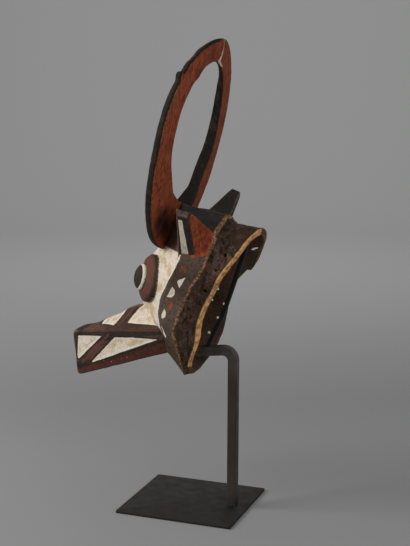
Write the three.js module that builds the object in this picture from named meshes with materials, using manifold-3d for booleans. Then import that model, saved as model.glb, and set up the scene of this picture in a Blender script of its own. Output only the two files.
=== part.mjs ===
// A carved buffalo mask with a ring of horns, on a steel display stand.
// Millimetres, +Z up. The origin is the middle of the base plate's underside.
// The mask looks toward -Y, and +X is its left side.
import * as THREE from 'three';
import { mergeVertices } from 'three/addons/utils/BufferGeometryUtils.js';
import Module from 'manifold-3d';

const wasm = await Module();
wasm.setup();

const gap = 0.3;
const mergeWithin = 0.001;

// The stand
const plate = { width: 242, length: 260, thickness: 6 };
const bar = {
  size: 20, postY: 94, bendRadius: 22, bendSteps: 10, armDroop: 7.5, armTopAtBend: 361, armEndY: -8,
};
const brace = { size: 9, footY: 35, kneeShare: 0.3, kneeOut: 7.5, topY: 130.5, topZ: 608 };

// The mask's own frame: x to its left, y to its back, z up along the rim.
// It leans back on the stand, and its origin lies at the bottom of the rim.
const mask = { lean: 24, originY: 14, originZ: 310 };
const loopSteps = 44;

// Open edge at the back: a round arch above a narrower chin, swept forward in the middle
const rim = {
  top: 338, bottom: -15, wideHalf: 104, narrowHalf: 78, narrowBelow: 175, wideAbove: 238,
  chinStart: 48, chinPower: 0.4, sweep: 17, sweepLow: 55, sweepHigh: 265, topBack: 3.5,
};

// The ridge where the smooth crown and cheeks end and the rough collar begins: height, half width, depth
const ridgeLine = [
  [328, 0, -76], [306, 70, -67], [296, 86, -59], [278, 98, -55], [231, 106, -53], [183, 106, -60],
  [125, 104, -61], [75, 99, -57], [53, 92, -43], [22, 80, -23], [-10, 62, -6], [-17, 0, -5],
];
// Just behind the ridge the collar starts lower, so the ridge stands up as a lip
const collarStep = { top: 14, side: 8, back: 8, startDepth: 5, fullDepth: 50 };

// Corner line between the painted face and the cheek: height, half width, depth
const cheekLine = [
  [311, 0, -144], [300, 92, -137], [235, 114, -102], [170, 108, -107], [93, 82, -108],
  [64, 77, -92], [51, 80, -71], [17, 60, -62], [15, 0, -65],
];
const faceBulge = { depth: 11, low: 60, high: 240, loops: 4 };
// Middle line of the face, from the crown down into the muzzle: height, depth
const crestLine = [[307, -178], [212, -182], [173, -194], [128, -193], [66, -172], [16, -90]];

// The hollow: the rim's outline, made smaller as it goes deeper
const hollow = [
  { depth: 60, width: 0.865, height: 0.92, middle: 160 },
  { depth: -8, width: 0.865, height: 0.92, middle: 160 },
  { depth: -60, width: 0.83, height: 0.78, middle: 172 },
  { depth: -105, width: 0.64, height: 0.6, middle: 170 },
  { depth: -140, width: 0.34, height: 0.36, middle: 162 },
  { depth: -152, width: 0.1, height: 0.12, middle: 160 },
];

const horns = {
  outerHalfWidth: 186, outerHalfHeight: 226, outerMiddle: 429, shoulder: 0.156,
  innerHalfWidth: 123, innerHalfHeight: 148, innerMiddle: 456,
  backAtMiddle: -210, lean: -0.19, curl: 14, dish: 7,
  thicknessTop: 8, thicknessBottom: 14, frontInset: 7, steps: 84,
};

// Muzzle sections, front and root, in the frame of the whole object
const muzzle = {
  front: {
    y: -264, lowY: -257, crestZ: 377, ridgeX: 47, ridgeZ: 376, lowX: 46, lowZ: 291, bottomX: 40, bottomZ: 273,
  },
  root: {
    y: -20, lowY: -20, crestZ: 484, ridgeX: 73, ridgeZ: 404, lowX: 69, lowZ: 382, bottomX: 51, bottomZ: 353,
  },
  steps: 8,
};

// Eye: a stepped disc with a dome, turned outward and upward by these angles
const eye = {
  x: 40, y: -84, z: 504, outward: 37, upward: 12, buried: 25,
  baseRadius: 51, baseHeight: 2, bevel: 4, ringRadius: 31, ringHeight: 13, ringLip: 3,
  domeFoot: 1, domeHeight: 17, domeSteps: 6, sides: 32,
};

// Ear: four corners of the cut end and four where it grows out of the head
const ear = {
  tip: [[165, 28, 674], [158, 55, 667], [160, 52, 652], [163, 27, 657]],
  root: [[90, 5, 641], [72, 74, 616], [100, 42, 563], [104, 8, 562]],
  buried: 40, rightLift: 6,
};

const cordHoles = {
  diameter: 6, sides: 10, length: 300, fromRim: 16, heights: [276, 238, 195, 158, 122, 88, 51],
};

const paint = {
  wood: new THREE.MeshStandardMaterial({ color: 0x5a3020, roughness: 0.75, metalness: 0 }),
  steel: new THREE.MeshStandardMaterial({ color: 0x2c2624, roughness: 0.5, metalness: 0.6 }),
};

const radians = THREE.MathUtils.degToRad;
const lerp = THREE.MathUtils.lerp;

// Value of a polyline of [key, a, b, ...] rows at a key, rows in falling order
function alongRows(rows, key) {
  let i = 0;
  while (i < rows.length - 2 && key < rows[i + 1][0]) i += 1;
  const [from, to] = [rows[i], rows[i + 1]];
  const t = THREE.MathUtils.clamp((from[0] - key) / (from[0] - to[0]), 0, 1);
  return from.map((value, k) => lerp(value, to[k], t));
}

// Closed body through loops of points that all have the same count.
// Ends are closed with a fan, or left when the last loop is already zipped shut.
function loft(loops, { closedPath = false, zipped = false } = {}) {
  const count = loops[0].length;
  const points = loops.flat().flatMap((p) => [p.x, p.y, p.z]);
  const index = [];
  const rows = closedPath ? loops.length : loops.length - 1;
  for (let r = 0; r < rows; r += 1) {
    const next = (r + 1) % loops.length;
    for (let i = 0; i < count; i += 1) {
      const j = (i + 1) % count;
      const [a, b, c, d] = [r * count + i, r * count + j, next * count + j, next * count + i];
      index.push(a, b, c, a, c, d);
    }
  }
  const fan = (row, flip) => {
    const centre = new THREE.Vector3();
    loops[row].forEach((p) => centre.addScaledVector(p, 1 / count));
    points.push(centre.x, centre.y, centre.z);
    const hub = points.length / 3 - 1;
    for (let i = 0; i < count; i += 1) {
      const [a, b] = [row * count + i, row * count + ((i + 1) % count)];
      index.push(...(flip ? [hub, a, b] : [hub, b, a]));
    }
  };
  if (!closedPath) {
    fan(0, false);
    if (!zipped) fan(loops.length - 1, true);
  }
  const geometry = new THREE.BufferGeometry();
  geometry.setAttribute('position', new THREE.Float32BufferAttribute(points, 3));
  geometry.setIndex(index);
  return geometry;
}

// A closed geometry as a solid for joining and cutting
function solid(source) {
  const bare = source.clone();
  bare.deleteAttribute('normal');
  bare.deleteAttribute('uv');
  const geometry = mergeVertices(bare, mergeWithin);
  const list = geometry.index.array;
  const kept = [];
  for (let i = 0; i < list.length; i += 3) {
    const [a, b, c] = [list[i], list[i + 1], list[i + 2]];
    if (a !== b && b !== c && a !== c) kept.push(a, b, c);
  }
  const mesh = new wasm.Mesh({
    numProp: 3,
    vertProperties: new Float32Array(geometry.attributes.position.array),
    triVerts: new Uint32Array(kept),
  });
  const made = new wasm.Manifold(mesh);
  if (made.volume() > 0) return made;
  const flipped = [];
  for (let i = 0; i < kept.length; i += 3) flipped.push(kept[i], kept[i + 2], kept[i + 1]);
  return new wasm.Manifold(new wasm.Mesh({
    numProp: 3,
    vertProperties: new Float32Array(geometry.attributes.position.array),
    triVerts: new Uint32Array(flipped),
  }));
}

function geometryOf(body) {
  const mesh = body.getMesh();
  const geometry = new THREE.BufferGeometry();
  geometry.setAttribute('position', new THREE.Float32BufferAttribute(mesh.vertProperties, 3));
  geometry.setIndex(new THREE.Uint32BufferAttribute(mesh.triVerts, 1));
  geometry.computeVertexNormals();
  return geometry;
}

// A point of the whole object's frame, in the mask's own frame
function toMask(x, y, z) {
  const a = radians(mask.lean);
  const [dy, dz] = [y - mask.originY, z - mask.originZ];
  return new THREE.Vector3(x, dy * Math.cos(a) - dz * Math.sin(a), dy * Math.sin(a) + dz * Math.cos(a));
}

// A loop with equal left and right halves: half(cosine, sine) gives the left point
function mirroredLoop(half) {
  const loop = [];
  for (let i = 0; i < 2 * loopSteps; i += 1) {
    const angle = (Math.PI * i) / loopSteps;
    const p = half(Math.cos(angle), Math.abs(Math.sin(angle)));
    if (i === 0 || i === loopSteps) p.x = 0;
    if (i > loopSteps) p.x = -p.x;
    loop.push(p);
  }
  return loop;
}

// How far back the rim reaches at a height
function rimDepth(z) {
  const t = THREE.MathUtils.clamp((z - rim.sweepLow) / (rim.sweepHigh - rim.sweepLow), 0, 1);
  const top = THREE.MathUtils.smoothstep(z, rim.wideAbove, rim.top);
  return rim.topBack * top - rim.sweep * Math.sin(Math.PI * t) ** 2;
}

// Half the width of the rim's outline at a height
function rimHalfWidth(z) {
  const widening = THREE.MathUtils.smoothstep(z, rim.narrowBelow, rim.wideAbove);
  const side = lerp(rim.narrowHalf, rim.wideHalf, widening);
  const above = Math.max(z - rim.wideAbove, 0) / (rim.top - rim.wideAbove);
  const below = Math.max(rim.chinStart - z, 0) / (rim.chinStart - rim.bottom);
  return side * Math.sqrt(Math.max(1 - above ** 2, 0)) * Math.max(1 - below ** 2, 0) ** rim.chinPower;
}

function rimPoint(cosine) {
  const z = lerp(rim.bottom, rim.top, (1 + cosine) / 2);
  return new THREE.Vector3(rimHalfWidth(z), rimDepth(z), z);
}

// Point of a line given by rows of height, half width and depth
function pointOnLine(rows, cosine) {
  const [top, bottom] = [rows[0][0], rows[rows.length - 1][0]];
  const [z, x, y] = alongRows(rows, lerp(bottom, top, (1 + cosine) / 2));
  return new THREE.Vector3(x, y, z);
}

function collarPoint(cosine, sine) {
  const p = pointOnLine(ridgeLine, cosine);
  const step = THREE.MathUtils.smoothstep(-p.y, collarStep.startDepth, collarStep.fullDepth);
  const drop = lerp(collarStep.side, collarStep.top, Math.max(cosine, 0) ** 4);
  p.x -= collarStep.side * step * sine;
  p.z -= drop * step * cosine;
  p.y += collarStep.back * step;
  return p;
}

function crestPoint(cosine) {
  const [top, bottom] = [crestLine[0][0], crestLine[crestLine.length - 1][0]];
  const [z, y] = alongRows(crestLine, lerp(bottom, top, (1 + cosine) / 2));
  return new THREE.Vector3(0, y, z);
}

function between(loopA, loopB, t) {
  return loopA.map((p, i) => p.clone().lerp(loopB[i], t));
}

// The face a share t of the way from cheek to crest, slightly rounded out
function faceLoop(cheekLoop, crestLoop, t) {
  const loop = between(cheekLoop, crestLoop, t);
  loop.forEach((p) => {
    const up = THREE.MathUtils.clamp((p.z - faceBulge.low) / (faceBulge.high - faceBulge.low), 0, 1);
    p.y -= faceBulge.depth * Math.sin(Math.PI * t) * Math.sin(Math.PI * up);
  });
  return loop;
}

function makeHead() {
  const rimLoop = mirroredLoop(rimPoint);
  const collarLoop = mirroredLoop(collarPoint);
  const ridgeLoop = mirroredLoop((cosine) => pointOnLine(ridgeLine, cosine));
  const cheekLoop = mirroredLoop((cosine) => pointOnLine(cheekLine, cosine));
  const crestLoop = mirroredLoop(crestPoint);
  const face = [];
  for (let i = 1; i <= faceBulge.loops; i += 1) {
    face.push(faceLoop(cheekLoop, crestLoop, i / (faceBulge.loops + 1)));
  }
  return solid(loft([
    rimLoop, between(rimLoop, collarLoop, 1 / 2), collarLoop,
    ridgeLoop, between(ridgeLoop, cheekLoop, 1 / 3), between(ridgeLoop, cheekLoop, 2 / 3),
    cheekLoop, ...face, crestLoop,
  ], { zipped: true }));
}

function makeHollow() {
  const reach = (rim.top - rim.bottom) / 2;
  const loops = hollow.map((h) => mirroredLoop((cosine) => new THREE.Vector3(
    h.width * rimPoint(cosine).x,
    h.depth,
    h.middle + h.height * reach * cosine,
  )));
  return solid(loft(loops));
}

// The horns: a flat ring between two ovals, leaning forward and curling back near the tips
function makeHorns() {
  const backOf = (z) => {
    const over = z - horns.outerMiddle;
    const curl = horns.curl * (Math.max(over, 0) / horns.outerHalfHeight) ** 4;
    return horns.backAtMiddle + horns.lean * over + curl;
  };
  const loops = [];
  for (let i = 0; i < horns.steps; i += 1) {
    const a = (2 * Math.PI * i) / horns.steps;
    const outerZ = horns.outerMiddle + horns.outerHalfHeight * Math.cos(a);
    const innerZ = horns.innerMiddle + horns.innerHalfHeight * Math.cos(a);
    const fuller = 1 + horns.shoulder * Math.max(Math.cos(a), 0) * Math.sin(a) ** 2;
    const outerX = horns.outerHalfWidth * Math.sin(a) * fuller;
    const innerX = horns.innerHalfWidth * Math.sin(a);
    const thick = lerp(horns.thicknessBottom, horns.thicknessTop, (1 + Math.cos(a)) / 2);
    const [outerY, innerY] = [backOf(outerZ), backOf(innerZ) + horns.dish];
    const inset = horns.frontInset * Math.max(Math.cos(a), 0);
    loops.push([
      new THREE.Vector3(outerX - inset * Math.sin(a), outerY - thick, outerZ - inset),
      new THREE.Vector3(innerX, innerY - thick, innerZ),
      new THREE.Vector3(innerX, innerY, innerZ),
      new THREE.Vector3(outerX, outerY, outerZ),
    ]);
  }
  return solid(loft(loops, { closedPath: true }));
}

function muzzleSection(s) {
  const half = [
    [0, s.y, s.crestZ], [s.ridgeX, s.y, s.ridgeZ], [s.lowX, s.lowY, s.lowZ], [s.bottomX, s.lowY, s.bottomZ],
  ];
  const near = half.map(([x, y, z]) => toMask(x, y, z));
  const far = half.slice(1).reverse().map(([x, y, z]) => toMask(-x, y, z));
  return [...near, ...far];
}

function makeMuzzle() {
  const [front, root] = [muzzleSection(muzzle.front), muzzleSection(muzzle.root)];
  const loops = [front];
  for (let i = 1; i < muzzle.steps; i += 1) loops.push(between(front, root, i / muzzle.steps));
  return solid(loft([...loops, root]));
}

function makeEye(side) {
  const profile = [
    [0, -eye.buried], [eye.baseRadius, -eye.buried], [eye.baseRadius, eye.baseHeight],
    [eye.baseRadius - eye.bevel, eye.baseHeight + eye.bevel], [eye.ringRadius, eye.ringHeight],
  ];
  const domeRadius = eye.ringRadius - eye.ringLip;
  const domeStart = eye.ringHeight + eye.domeFoot;
  for (let i = 0; i < eye.domeSteps; i += 1) {
    const a = (Math.PI / 2) * (i / eye.domeSteps);
    profile.push([domeRadius * Math.cos(a), domeStart + eye.domeHeight * Math.sin(a)]);
  }
  profile.push([0, domeStart + eye.domeHeight]);
  const geometry = new THREE.LatheGeometry(profile.map(([x, y]) => new THREE.Vector2(x, y)), eye.sides);
  const [out, up] = [radians(eye.outward), radians(eye.upward)];
  const tip = toMask(
    eye.x + Math.sin(out) * Math.cos(up), eye.y - Math.cos(out) * Math.cos(up), eye.z + Math.sin(up),
  );
  const foot = toMask(eye.x, eye.y, eye.z);
  const axis = tip.sub(foot).normalize();
  geometry.applyQuaternion(new THREE.Quaternion().setFromUnitVectors(new THREE.Vector3(0, 1, 0), axis));
  geometry.translate(foot.x, foot.y, foot.z);
  if (side < 0) geometry.scale(-1, 1, 1);
  return solid(geometry);
}

function makeEar(side) {
  const inner = ear.root.map(([x, y, z]) => [x - ear.buried, y, z]);
  const loops = [inner, ear.root, ear.tip].map((quad) => quad.map(([x, y, z]) => {
    const p = toMask(x, y, z);
    p.x *= side;
    return p;
  }));
  if (side < 0) loops[2].forEach((p) => { p.z += ear.rightLift; });
  return solid(loft(loops));
}

// Holes for the cords of the costume, straight through both side walls
function makeCordHoles() {
  const holes = cordHoles.heights.map((z) => {
    const radius = cordHoles.diameter / 2;
    const geometry = new THREE.CylinderGeometry(radius, radius, cordHoles.length, cordHoles.sides);
    geometry.rotateZ(Math.PI / 2);
    geometry.translate(0, rimDepth(z) - cordHoles.fromRim, z);
    return solid(geometry);
  });
  return wasm.Manifold.union(holes);
}

function makeMask() {
  const sides = [1, -1];
  const parts = [makeHead(), makeHorns(), makeMuzzle(), ...sides.map(makeEye), ...sides.map(makeEar)];
  const carved = wasm.Manifold.union(parts).subtract(makeHollow()).subtract(makeCordHoles());
  const mesh = new THREE.Mesh(geometryOf(carved), paint.wood);
  mesh.name = 'mask';
  const leaning = new THREE.Group();
  leaning.position.set(0, mask.originY, mask.originZ);
  leaning.rotation.x = -radians(mask.lean);
  leaning.add(mesh);
  return leaning;
}

function makeBasePlate() {
  const geometry = new THREE.BoxGeometry(plate.width, plate.length, plate.thickness);
  const mesh = new THREE.Mesh(geometry, paint.steel);
  mesh.name = 'stand_base_plate';
  mesh.position.z = plate.thickness / 2;
  return mesh;
}

// Centre of the bar's round bend in the side view, and the arm's droop
const bend = {
  y: bar.postY - bar.bendRadius,
  z: bar.armTopAtBend - bar.size / 2 - bar.bendRadius,
  droop: radians(bar.armDroop),
};

// A steel bar from its outline in the side view, with its width across
function pulledBar(outline, width, name) {
  const shape = new THREE.Shape(outline.map(([y, z]) => new THREE.Vector2(y, z)));
  const geometry = new THREE.ExtrudeGeometry(shape, { depth: width, bevelEnabled: false });
  geometry.translate(0, 0, -width / 2);
  geometry.applyMatrix4(new THREE.Matrix4().makeBasis(
    new THREE.Vector3(0, 1, 0), new THREE.Vector3(0, 0, 1), new THREE.Vector3(1, 0, 0),
  ));
  const mesh = new THREE.Mesh(geometryOf(solid(geometry)), paint.steel);
  mesh.name = name;
  return mesh;
}

// Upright, round bend and drooping arm
function makeBentBar() {
  const half = bar.size / 2;
  const arc = (radius) => {
    const points = [];
    for (let i = 0; i <= bar.bendSteps; i += 1) {
      const a = (Math.PI / 2 + bend.droop) * (i / bar.bendSteps);
      points.push([bend.y + radius * Math.cos(a), bend.z + radius * Math.sin(a)]);
    }
    return points;
  };
  const outer = arc(bar.bendRadius + half);
  const inner = arc(bar.bendRadius - half);
  const reach = (outer[bar.bendSteps][0] - bar.armEndY) / Math.cos(bend.droop);
  const armEnd = ([y, z]) => [y - reach * Math.cos(bend.droop), z - reach * Math.sin(bend.droop)];
  const foot = plate.thickness + gap;
  return pulledBar([
    [bar.postY + half, foot], ...outer, armEnd(outer[bar.bendSteps]),
    armEnd(inner[bar.bendSteps]), ...inner.reverse(), [bar.postY - half, foot],
  ], bar.size, 'stand_bent_bar');
}

// Height just above the arm's top face
function aboveArm(y) {
  const radius = bar.bendRadius + bar.size / 2;
  const [y0, z0] = [bend.y - radius * Math.sin(bend.droop), bend.z + radius * Math.cos(bend.droop)];
  return z0 - (y0 - y) * Math.tan(bend.droop) + gap;
}

// Thinner bar, with a slight knee, that leans up from the arm to the ceiling of the hollow
function makeBrace() {
  const half = brace.size / 2;
  const rise = [brace.topY - brace.footY, brace.topZ - aboveArm(brace.footY)];
  const length = Math.hypot(rise[0], rise[1]);
  const [alongY, alongZ] = [rise[0] / length, rise[1] / length];
  const foot = (offset) => [brace.footY + offset / alongZ, aboveArm(brace.footY + offset / alongZ)];
  const knee = (offset) => [
    brace.footY + rise[0] * brace.kneeShare + brace.kneeOut + offset / alongZ,
    aboveArm(brace.footY) + rise[1] * brace.kneeShare,
  ];
  const top = (offset) => [brace.topY + offset * alongZ, brace.topZ - offset * alongY];
  const outline = [foot(-half), foot(half), knee(half), top(half), top(-half), knee(-half)];
  return pulledBar(outline, brace.size, 'stand_inner_brace');
}

const group = new THREE.Group();
group.add(makeMask(), makeBasePlate(), makeBentBar(), makeBrace());
export default group;
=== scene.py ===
from itertools import product

import bpy
import numpy as np
from mathutils import Matrix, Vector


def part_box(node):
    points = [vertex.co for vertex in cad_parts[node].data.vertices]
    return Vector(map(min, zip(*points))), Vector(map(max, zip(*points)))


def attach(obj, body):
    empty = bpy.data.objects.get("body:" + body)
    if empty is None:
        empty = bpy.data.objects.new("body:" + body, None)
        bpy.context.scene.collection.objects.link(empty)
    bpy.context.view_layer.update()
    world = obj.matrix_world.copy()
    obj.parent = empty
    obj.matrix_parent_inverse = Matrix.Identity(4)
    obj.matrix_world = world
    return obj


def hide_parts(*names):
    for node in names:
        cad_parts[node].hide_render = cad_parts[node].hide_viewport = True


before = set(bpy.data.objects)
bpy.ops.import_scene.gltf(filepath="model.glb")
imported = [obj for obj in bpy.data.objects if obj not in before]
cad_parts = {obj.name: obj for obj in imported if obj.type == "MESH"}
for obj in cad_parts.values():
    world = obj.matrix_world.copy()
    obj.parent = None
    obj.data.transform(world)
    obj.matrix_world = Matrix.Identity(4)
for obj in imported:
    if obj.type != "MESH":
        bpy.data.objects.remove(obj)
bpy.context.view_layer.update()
print("frame loaded:", sorted(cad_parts))

mm = 0.001


def addObject(name, data):
    made = bpy.data.objects.new(name, data)
    bpy.context.scene.collection.objects.link(made)
    return made


def standing(place, right, up, back):
    # the matrix that puts an object at a place with these directions as its axes
    return Matrix.Translation(place) @ Matrix(np.column_stack([right, up, back]).tolist()).to_4x4()


# Camera at the photograph's view
view = {
    "azimuth": 110.17, "elevation": 10.58, "roll": 0.22,        # degrees
    "place": (2376.3, 901.2, 988.2),                            # millimetres
    "focalPixels": 1213.4, "imageHeight": 546, "sensor": 36, "clipEnd": 20,
}


def makeCamera(v):
    a, e, r = np.radians([v["azimuth"], v["elevation"], v["roll"]])
    back = np.array([np.sin(a) * np.cos(e), -np.cos(a) * np.cos(e), np.sin(e)])
    right = np.array([np.cos(a), np.sin(a), 0.0])
    up = np.cross(back, right)
    camera = addObject("camera", bpy.data.cameras.new("camera"))
    camera.data.sensor_fit = "VERTICAL"
    camera.data.sensor_height = v["sensor"]
    camera.data.lens = v["sensor"] * v["focalPixels"] / v["imageHeight"]
    camera.data.clip_end = v["clipEnd"]
    camera.matrix_world = standing(np.array(v["place"]) * mm, right * np.cos(r) + up * np.sin(r),
                                   up * np.cos(r) - right * np.sin(r), back)
    bpy.context.scene.camera = camera


makeCamera(view)
print("camera placed")

# The mask's own frame: x to its left, y to its back, z up along the rim
lean = {"angle": 24, "originY": 14, "originZ": 310}
leanCos, leanSin = np.cos(np.radians(lean["angle"])), np.sin(np.radians(lean["angle"]))


def toMask(p):
    # move the origin to the foot of the rim, then turn about X by the lean
    y, z = p[..., 1] - lean["originY"], p[..., 2] - lean["originZ"]
    return np.stack([p[..., 0], y * leanCos - z * leanSin, y * leanSin + z * leanCos], -1)


def fromMask(p):
    # turn back about X, then move the foot of the rim to its place
    y, z = p[..., 1] * leanCos + p[..., 2] * leanSin, p[..., 2] * leanCos - p[..., 1] * leanSin
    return np.stack([p[..., 0], y + lean["originY"], z + lean["originZ"]], -1)


# Noise and blending as whole arrays

def latticeValue(cells, seed):
    # one fixed pseudo-random number from 0 to 1 for each whole lattice point
    h = cells[:, 0] * 73856093 ^ cells[:, 1] * 19349663 ^ cells[:, 2] * 83492791 ^ (seed * 2654435761)
    h = (h ^ (h >> 13)) & 0x7FFFFFFF
    h = (h * 1274126177) & 0x7FFFFFFF
    return ((h ^ (h >> 15)) & 0xFFFF) / 65535.0


def noise(points, size, seed):
    # random values at lattice points size apart, blended between them by a cubic: from -1 to 1
    q = points / size
    low = np.floor(q).astype(np.int64)
    t = q - low
    t = t * t * (3 - 2 * t)
    total = np.zeros(len(q))
    for step in product((0, 1), repeat=3):
        step = np.array(step)
        weight = np.prod(np.where(step == 1, t, 1 - t), axis=1)
        total += weight * latticeValue(low + step, seed)
    return total * 2 - 1


def cellDistance(points, size, seed):
    # distance to the nearest of a set of scattered points, one in each lattice cell, in cell sizes
    q = points / size
    low = np.floor(q).astype(np.int64)
    best = np.full(len(q), 9.0)
    for step in product((-1, 0, 1), repeat=3):
        cell = low + np.array(step)
        spot = cell + np.column_stack([latticeValue(cell, seed + k) for k in (0, 17, 31)])
        best = np.minimum(best, np.linalg.norm(q - spot, axis=1))
    return best


def ramp(value, low, high):
    # 0 below low, 1 above high, smooth between
    t = np.clip((value - low) / (high - low), 0, 1)
    return t * t * (3 - 2 * t)


def between(a, b, t):
    return a + (b - a) * t


def bell(value, middle, wide, power=2):
    # 1 at the middle, falling to 1/e at the half width
    return np.exp(-((value - middle) / wide) ** power)


def unit(vector):
    return vector / np.linalg.norm(vector, axis=-1, keepdims=True)


def turns(count):
    # the cosines and sines of equal turns, all the way round
    angle = 2 * np.pi * np.arange(count) / count
    return np.cos(angle), np.sin(angle)


def soften(grid, passes, axis, circular=True):
    # each point becomes the mean of itself, twice, and its two neighbours along the axis
    for _ in range(passes):
        mean = (np.roll(grid, 1, axis) + 2 * grid + np.roll(grid, -1, axis)) / 4
        if not circular:
            mean[0], mean[-1] = grid[0], grid[-1]
        grid = mean
    return grid


def fillRows(keys, counts):
    # straight steps from each key loop to the next, counts[k] of them after key k
    rows = []
    for k, count in enumerate(counts):
        for t in np.arange(count) / count:
            rows.append(between(keys[k], keys[k + 1], t))
    rows.append(keys[-1])
    return np.array(rows)


# Closed bodies from grids of points: rows of loops that all have the same count

def makeBody(name, rows, fields, closed=False, zipped=False):
    # Ends get a middle point each. A closed body joins its last loop to its first,
    # and in a zipped one point j of the last loop is also its point count minus j.
    loops, columns = rows.shape[:2]
    index = np.arange(loops * columns).reshape(loops, columns)
    if zipped:
        j = np.arange(columns)
        index[-1] = index[-1][np.minimum(j, columns - j)]
    around = np.vstack([index, index[:1]]) if closed else index
    after = np.roll(around, -1, axis=1)
    quads = np.stack([around[:-1], after[:-1], after[1:], around[1:]], -1).reshape(-1, 4)
    points = rows.reshape(-1, 3)
    data = {key: grid.reshape(-1) for key, grid in fields.items()}
    fans = []
    for end in [] if closed else [0] if zipped else [0, -1]:
        pair = [np.roll(index[end], -1), index[end]]
        hub = np.full(columns, len(points))
        fans.append(np.column_stack([hub] + (pair if end == 0 else pair[::-1])))
        points = np.vstack([points, rows[end].mean(axis=0)])
        data = {key: np.append(value, fields[key][end].mean()) for key, value in data.items()}
    triangles = np.vstack(fans) if fans else np.zeros((0, 3), int)
    return makePiece(name, points, quads, triangles, data)


def makePiece(name, points, quads, triangles, data):
    # the volume is a sum over the faces; where it comes out negative the faces are turned round
    a, b, c, d = [points[quads[:, k]] for k in range(4)]
    volume = np.sum(a * np.cross(b, c)) + np.sum(a * np.cross(c, d))
    if len(triangles):
        a, b, c = [points[triangles[:, k]] for k in range(3)]
        volume += np.sum(a * np.cross(b, c))
    if volume < 0:
        quads, triangles = quads[:, ::-1], triangles[:, ::-1]
    used = np.unique(np.concatenate([quads.ravel(), triangles.ravel()]))
    renumber = np.zeros(len(points), int)
    renumber[used] = np.arange(len(used))
    mesh = bpy.data.meshes.new(name)
    mesh.from_pydata((points[used] * mm).tolist(), [],
                     renumber[quads].tolist() + renumber[triangles].tolist())
    for key, value in data.items():
        attribute = mesh.attributes.new(key, "FLOAT", "POINT")
        attribute.data.foreach_set("value", value[used].astype(np.float32))
    return addObject(name, mesh)


cornerShare = 0.002     # how much of place a rounded corner takes up
cutEnd = 9.0            # the place of a cut end, past the number of any edge


def roundedLoops(corners, radii, cornerSteps, edgeSteps):
    # corners is rows x corners x 3. Each corner becomes a short curve that starts and ends its
    # radius away along the two edges, and each edge a straight stretch. place is the number of
    # the edge plus the share of it that is passed, and inset the distance to its nearer end.
    # A radius is one number, or one for each row.
    count = corners.shape[1]
    parts, place, inset = [], [], []
    radii = [np.broadcast_to(r, len(corners)) for r in radii]
    for k in range(count):
        here, after = corners[:, k], corners[:, (k + 1) % count]
        edge = np.linalg.norm(after - here, axis=1)
        toBefore, toAfter = unit(corners[:, k - 1] - here), unit(after - here)
        for t in np.linspace(0, 1, cornerSteps + 1):
            curve = (1 - t) ** 2 * toBefore + t ** 2 * toAfter
            parts.append(here + radii[k][:, None] * curve)
            place.append(k + (t - 0.5) * cornerShare)
            inset.append(radii[k] * abs(1 - 2 * t))
        farRadius = radii[(k + 1) % count]
        for t in np.linspace(0, 1, edgeSteps[k] + 2)[1:-1]:
            passed = radii[k] + (edge - radii[k] - farRadius) * t
            parts.append(here + toAfter * passed[:, None])
            place.append(k + t)
            inset.append(np.minimum(passed, edge - passed))
    grid = np.stack(parts, axis=1)
    place = np.broadcast_to(np.array(place) % count, grid.shape[:2])
    return grid, place, np.stack(inset, axis=1)


def bluntEnd(rows, distances, radius):
    # the first rows draw in towards their middle on a quarter circle of this radius
    inset = radius - np.sqrt(np.maximum(radius ** 2 - np.maximum(radius - distances, 0) ** 2, 0))
    return rows + unit(rows.mean(axis=1, keepdims=True) - rows) * inset[:, None, None]


def cutOff(rows, place, inset, distances, piece):
    # a blunt end, closed by rings that shrink evenly to almost nothing
    rows, count = bluntEnd(rows, distances, piece["blunt"]), piece["capRings"]
    middle = rows[0].mean(axis=0)
    rings = np.array([middle + (rows[0] - middle) * (k + 1) / (count + 1) for k in range(count)])
    flat = np.full(rings.shape[:2], cutEnd)
    return np.vstack([rings, rows]), np.vstack([flat, place]), np.vstack([0 * flat, inset])


partIds = {"head": 1, "hollow": 2, "horns": 3, "muzzle": 4, "ear": 5, "eye": 6, "hole": 7, "thread": 8}
fieldNames = ["part", "place", "inset", "ridge", "cheek", "rim"]


def fieldsFor(part, shape, **given):
    fields = {name: np.zeros(shape) for name in fieldNames}
    fields["part"] += partIds[part]
    for name, value in given.items():
        fields[name] = fields[name] + value
    return fields


def makeTool(part, grid, closed=False, **given):
    return makeBody(part, grid, fieldsFor(part, grid.shape[:2], **given), closed)


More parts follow.
